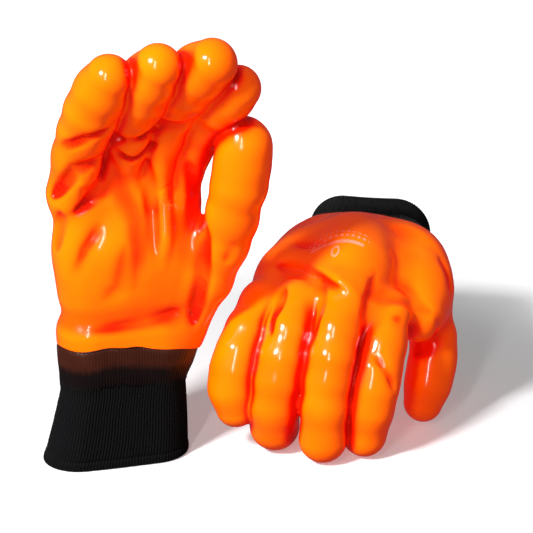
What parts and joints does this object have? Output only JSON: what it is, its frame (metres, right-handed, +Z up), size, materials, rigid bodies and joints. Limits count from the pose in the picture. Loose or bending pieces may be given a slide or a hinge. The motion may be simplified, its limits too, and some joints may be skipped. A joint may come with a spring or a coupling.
{
  "type": "pair of insulated knit-wrist gloves",
  "caption": "Pair of thick dipped work gloves with insulating liners and ribbed knit wrists; one stands on its cuff, one rests on its fingertips.",
  "frame": {"origin": "on the floor under the middle of the pair's box", "axes": "+X to the resting glove's side, +Y away from the standing glove's palm toward the resting glove's cuff, +Z up"},
  "size_m": [0.2623, 0.2482, 0.2637],
  "materials": {
    "orange_pvc": "wet-looking gloss over a smooth dipped skin",
    "brown_pvc_edge": "thin see-through dip edge over the knit, ribbed by it",
    "pale_liner": "brushed fleece",
    "black_knit": "one-by-one rib knit",
    "dark_thread": "twisted sewing thread"
  },
  "bodies": {
    "standing_hand": {"standing_hand_skin": "orange_pvc", "standing_hand_liner": "pale_liner", "standing_dip_edge": "brown_pvc_edge", "standing_knit_cuff": "black_knit", "standing_cuff_hem": "black_knit", "standing_wrist_seam": "dark_thread"},
    "standing_little_base": {"standing_little_base_skin": "orange_pvc", "standing_little_base_liner": "pale_liner"},
    "standing_little_tip": {"standing_little_tip_skin": "orange_pvc", "standing_little_tip_liner": "pale_liner"},
    "standing_ring_base": {"standing_ring_base_skin": "orange_pvc", "standing_ring_base_liner": "pale_liner"},
    "standing_ring_tip": {"standing_ring_tip_skin": "orange_pvc", "standing_ring_tip_liner": "pale_liner"},
    "standing_middle_base": {"standing_middle_base_skin": "orange_pvc", "standing_middle_base_liner": "pale_liner"},
    "standing_middle_tip": {"standing_middle_tip_skin": "orange_pvc", "standing_middle_tip_liner": "pale_liner"},
    "standing_index_base": {"standing_index_base_skin": "orange_pvc", "standing_index_base_liner": "pale_liner"},
    "standing_index_tip": {"standing_index_tip_skin": "orange_pvc", "standing_index_tip_liner": "pale_liner"},
    "standing_thumb_base": {"standing_thumb_base_skin": "orange_pvc", "standing_thumb_base_liner": "pale_liner"},
    "standing_thumb_tip": {"standing_thumb_tip_skin": "orange_pvc", "standing_thumb_tip_liner": "pale_liner"},
    "resting_hand": {"resting_hand_skin": "orange_pvc", "resting_hand_liner": "pale_liner", "resting_dip_edge": "brown_pvc_edge", "resting_knit_cuff": "black_knit", "resting_cuff_hem": "black_knit", "resting_wrist_seam": "dark_thread"},
    "resting_little_base": {"resting_little_base_skin": "orange_pvc", "resting_little_base_liner": "pale_liner"},
    "resting_little_tip": {"resting_little_tip_skin": "orange_pvc", "resting_little_tip_liner": "pale_liner"},
    "resting_ring_base": {"resting_ring_base_skin": "orange_pvc", "resting_ring_base_liner": "pale_liner"},
    "resting_ring_tip": {"resting_ring_tip_skin": "orange_pvc", "resting_ring_tip_liner": "pale_liner"},
    "resting_middle_base": {"resting_middle_base_skin": "orange_pvc", "resting_middle_base_liner": "pale_liner"},
    "resting_middle_tip": {"resting_middle_tip_skin": "orange_pvc", "resting_middle_tip_liner": "pale_liner"},
    "resting_index_base": {"resting_index_base_skin": "orange_pvc", "resting_index_base_liner": "pale_liner"},
    "resting_index_tip": {"resting_index_tip_skin": "orange_pvc", "resting_index_tip_liner": "pale_liner"},
    "resting_thumb_base": {"resting_thumb_base_skin": "orange_pvc", "resting_thumb_base_liner": "pale_liner"},
    "resting_thumb_tip": {"resting_thumb_tip_skin": "orange_pvc", "resting_thumb_tip_liner": "pale_liner"}
  },
  "joints": [
    {"name": "resting_glove_slide", "type": "slide", "parent": "standing_hand", "child": "resting_hand", "axis": [1, 0, 0], "range_m": [0, 0.3]},
    {"name": "standing_little_knuckle", "type": "hinge", "parent": "standing_hand", "child": "standing_little_base", "pos_m": [-0.10164, -0.06523, 0.17], "axis": [0.9613, 0.2756, 0], "range_deg": [-30, 30], "stiffness_Nm_per_rad": 0.8},
    {"name": "standing_little_middle_joint", "type": "hinge", "parent": "standing_little_base", "child": "standing_little_tip", "pos_m": [-0.09805, -0.08501, 0.206], "axis": [0.9613, 0.2756, 0], "range_deg": [-25, 30], "stiffness_Nm_per_rad": 0.5},
    {"name": "standing_ring_knuckle", "type": "hinge", "parent": "standing_hand", "child": "standing_ring_base", "pos_m": [-0.08289, -0.05986, 0.17], "axis": [0.9613, 0.2756, 0], "range_deg": [-30, 30], "stiffness_Nm_per_rad": 0.8},
    {"name": "standing_ring_middle_joint", "type": "hinge", "parent": "standing_ring_base", "child": "standing_ring_tip", "pos_m": [-0.07168, -0.07537, 0.216], "axis": [0.9613, 0.2756, 0], "range_deg": [-25, 30], "stiffness_Nm_per_rad": 0.5},
    {"name": "standing_middle_knuckle", "type": "hinge", "parent": "standing_hand", "child": "standing_middle_base", "pos_m": [-0.06415, -0.05448, 0.17], "axis": [0.9613, 0.2756, 0], "range_deg": [-30, 25], "stiffness_Nm_per_rad": 0.8},
    {"name": "standing_middle_middle_joint", "type": "hinge", "parent": "standing_middle_base", "child": "standing_middle_tip", "pos_m": [-0.05013, -0.0671, 0.219], "axis": [0.9613, 0.2756, 0], "range_deg": [-25, 25], "stiffness_Nm_per_rad": 0.5},
    {"name": "standing_index_knuckle", "type": "hinge", "parent": "standing_hand", "child": "standing_index_base", "pos_m": [-0.04541, -0.04911, 0.17], "axis": [0.9613, 0.2756, 0], "range_deg": [-30, 4], "stiffness_Nm_per_rad": 0.8},
    {"name": "standing_index_middle_joint", "type": "hinge", "parent": "standing_index_base", "child": "standing_index_tip", "pos_m": [-0.03311, -0.0539, 0.206], "axis": [0.9613, 0.2756, 0], "range_deg": [-20, 3], "stiffness_Nm_per_rad": 0.5},
    {"name": "standing_thumb_knuckle", "type": "hinge", "parent": "standing_hand", "child": "standing_thumb_base", "pos_m": [-0.03118, -0.05335, 0.092], "axis": [0.2756, -0.9613, 0], "range_deg": [-15, 0], "stiffness_Nm_per_rad": 0.8},
    {"name": "standing_thumb_middle_joint", "type": "hinge", "parent": "standing_thumb_base", "child": "standing_thumb_tip", "pos_m": [-0.00988, -0.06597, 0.16], "axis": [0.2756, -0.9613, 0], "range_deg": [-12, 3], "stiffness_Nm_per_rad": 0.5},
    {"name": "resting_little_knuckle", "type": "hinge", "parent": "resting_hand", "child": "resting_little_base", "pos_m": [0.00625, -0.02999, 0.089], "axis": [0.9781, -0.2079, 0], "range_deg": [-16, 10], "stiffness_Nm_per_rad": 0.8},
    {"name": "resting_little_middle_joint", "type": "hinge", "parent": "resting_little_base", "child": "resting_little_tip", "pos_m": [-0.00985, -0.04804, 0.069], "axis": [0.9781, -0.2079, 0], "range_deg": [-20, 20], "stiffness_Nm_per_rad": 0.5},
    {"name": "resting_ring_knuckle", "type": "hinge", "parent": "resting_hand", "child": "resting_ring_base", "pos_m": [0.0291, -0.03792, 0.093], "axis": [0.9781, -0.2079, 0], "range_deg": [-30, 10], "stiffness_Nm_per_rad": 0.8},
    {"name": "resting_ring_middle_joint", "type": "hinge", "parent": "resting_ring_base", "child": "resting_ring_tip", "pos_m": [0.01783, -0.0621, 0.07], "axis": [0.9781, -0.2079, 0], "range_deg": [-20, 20], "stiffness_Nm_per_rad": 0.5},
    {"name": "resting_middle_knuckle", "type": "hinge", "parent": "resting_hand", "child": "resting_middle_base", "pos_m": [0.05356, -0.04312, 0.093], "axis": [0.9781, -0.2079, 0], "range_deg": [-30, 10], "stiffness_Nm_per_rad": 0.8},
    {"name": "resting_middle_middle_joint", "type": "hinge", "parent": "resting_middle_base", "child": "resting_middle_tip", "pos_m": [0.04619, -0.06813, 0.072], "axis": [0.9781, -0.2079, 0], "range_deg": [-20, 20], "stiffness_Nm_per_rad": 0.5},
    {"name": "resting_index_knuckle", "type": "hinge", "parent": "resting_hand", "child": "resting_index_base", "pos_m": [0.07863, -0.04538, 0.089], "axis": [0.9781, -0.2079, 0], "range_deg": [-30, 10], "stiffness_Nm_per_rad": 0.8},
    {"name": "resting_index_middle_joint", "type": "hinge", "parent": "resting_index_base", "child": "resting_index_tip", "pos_m": [0.07329, -0.06571, 0.061], "axis": [0.9781, -0.2079, 0], "range_deg": [-20, 15], "stiffness_Nm_per_rad": 0.5},
    {"name": "resting_thumb_knuckle", "type": "hinge", "parent": "resting_hand", "child": "resting_thumb_base", "pos_m": [0.11521, 0.01125, 0.071], "axis": [0.2079, 0.9781, 0], "range_deg": [-20, 0], "stiffness_Nm_per_rad": 0.8},
    {"name": "resting_thumb_middle_joint", "type": "hinge", "parent": "resting_thumb_base", "child": "resting_thumb_tip", "pos_m": [0.11914, -0.0039, 0.045], "axis": [0.2079, 0.9781, 0], "range_deg": [-20, 8], "stiffness_Nm_per_rad": 0.5}
  ]
}
